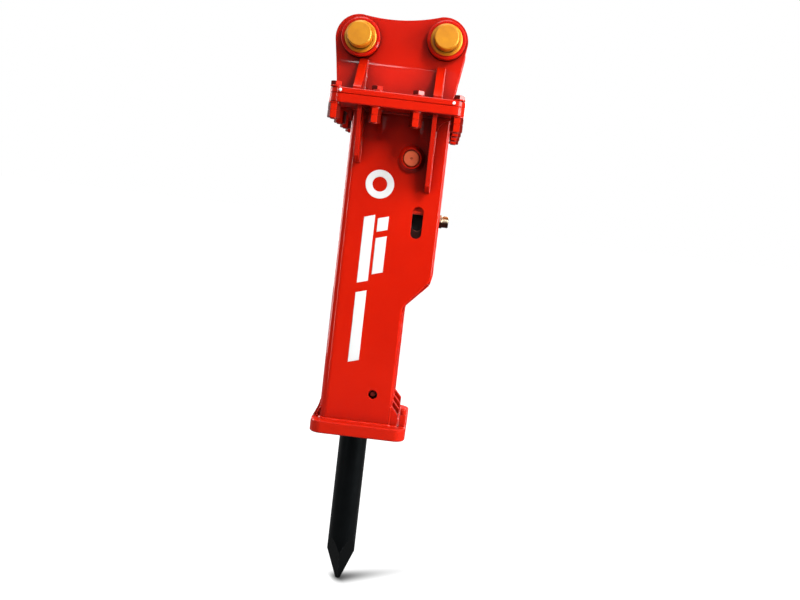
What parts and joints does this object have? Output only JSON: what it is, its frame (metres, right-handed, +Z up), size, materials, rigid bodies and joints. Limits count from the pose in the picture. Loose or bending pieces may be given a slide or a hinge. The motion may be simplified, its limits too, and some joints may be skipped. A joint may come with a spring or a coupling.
{
  "type": "hydraulic breaker hammer",
  "caption": "Top-mounted box-housed hydraulic breaker with pin bracket, bolted flange, percussion cell and a sliding moil-point tool.",
  "frame": {"origin": "middle of the stick pin, half way between the bracket's ears", "axes": "+Z up along the working axis, away from the tool's point; +X from the stick pin towards the link pin; -Y out of the face with the small punch hole"},
  "size_m": [0.311, 0.4016, 1.373],
  "materials": {
    "red_paint": "gloss",
    "pale_red_paint": "gloss",
    "white_plastic": "gloss",
    "yellow_zinc": "satin",
    "tool_steel": "satin",
    "forged_steel": "satin",
    "machined_steel": "satin",
    "plated_fitting": "gloss",
    "black_rubber": "matte",
    "polyurethane": "satin"
  },
  "bodies": {
    "housing": {"bracket_base_plate": "red_paint", "front_ear": "red_paint", "rear_ear": "red_paint", "ear_bosses": "red_paint", "ear_ribs": "red_paint", "cross_web": "red_paint", "keeper_plates": "red_paint", "keeper_spacers": "red_paint", "flange_bolts": "red_paint", "flange_washers": "red_paint", "flange_nuts": "red_paint", "flange_lock_nuts": "red_paint", "box_flange": "red_paint", "front_shell": "red_paint", "rear_shell": "red_paint", "side_closure": "red_paint", "housing_ribs": "red_paint", "flange_gussets": "red_paint", "bottom_plate": "red_paint", "bottom_gussets": "red_paint", "lube_block": "red_paint", "lube_cap": "red_paint", "side_boss_rings": "red_paint", "slot_liners": "red_paint", "side_boss_plugs": "pale_red_paint", "edge_plugs": "white_plastic", "pin_bushes": "yellow_zinc", "keeper_bolts": "yellow_zinc", "back_head": "forged_steel", "cylinder": "forged_steel", "front_head": "forged_steel", "valve_housing": "forged_steel", "seal_retainer": "machined_steel", "upper_tool_bush": "machined_steel", "lower_tool_bush": "machined_steel", "tie_bolts": "machined_steel", "tie_nuts": "machined_steel", "valve_bolts": "machined_steel", "valve_cap": "machined_steel", "gas_valve": "machined_steel", "gas_valve_cap": "machined_steel", "pressure_adapter": "plated_fitting", "return_adapter": "plated_fitting", "dust_seal": "black_rubber", "piston_seals": "black_rubber", "upper_cushion": "polyurethane", "lower_cushion": "polyurethane", "side_buffers": "polyurethane"},
    "tool": {"tool": "tool_steel"},
    "piston": {"piston": "machined_steel"},
    "spool": {"valve_spool": "machined_steel"},
    "retainer": {"retainer_pin": "machined_steel", "retainer_plug": "black_rubber"},
    "stick_pin": {"stick_pin": "yellow_zinc"},
    "link_pin": {"link_pin": "yellow_zinc"}
  },
  "joints": [
    {"name": "tool_slide", "type": "slide", "parent": "housing", "child": "tool", "axis": [0, 0, 1], "range_m": [0, 0.06]},
    {"name": "piston_slide", "type": "slide", "parent": "housing", "child": "piston", "axis": [0, 0, 1], "range_m": [0, 0.08]},
    {"name": "spool_slide", "type": "slide", "parent": "housing", "child": "spool", "axis": [0, 0, 1], "range_m": [0, 0.012]},
    {"name": "retainer_slide", "type": "slide", "parent": "housing", "child": "retainer", "axis": [0, 1, 0], "range_m": [0, 0.2]},
    {"name": "stick_pin_slide", "type": "slide", "parent": "housing", "child": "stick_pin", "axis": [0, -1, 0], "range_m": [0, 0.32]},
    {"name": "link_pin_slide", "type": "slide", "parent": "housing", "child": "link_pin", "axis": [0, -1, 0], "range_m": [0, 0.32]}
  ]
}
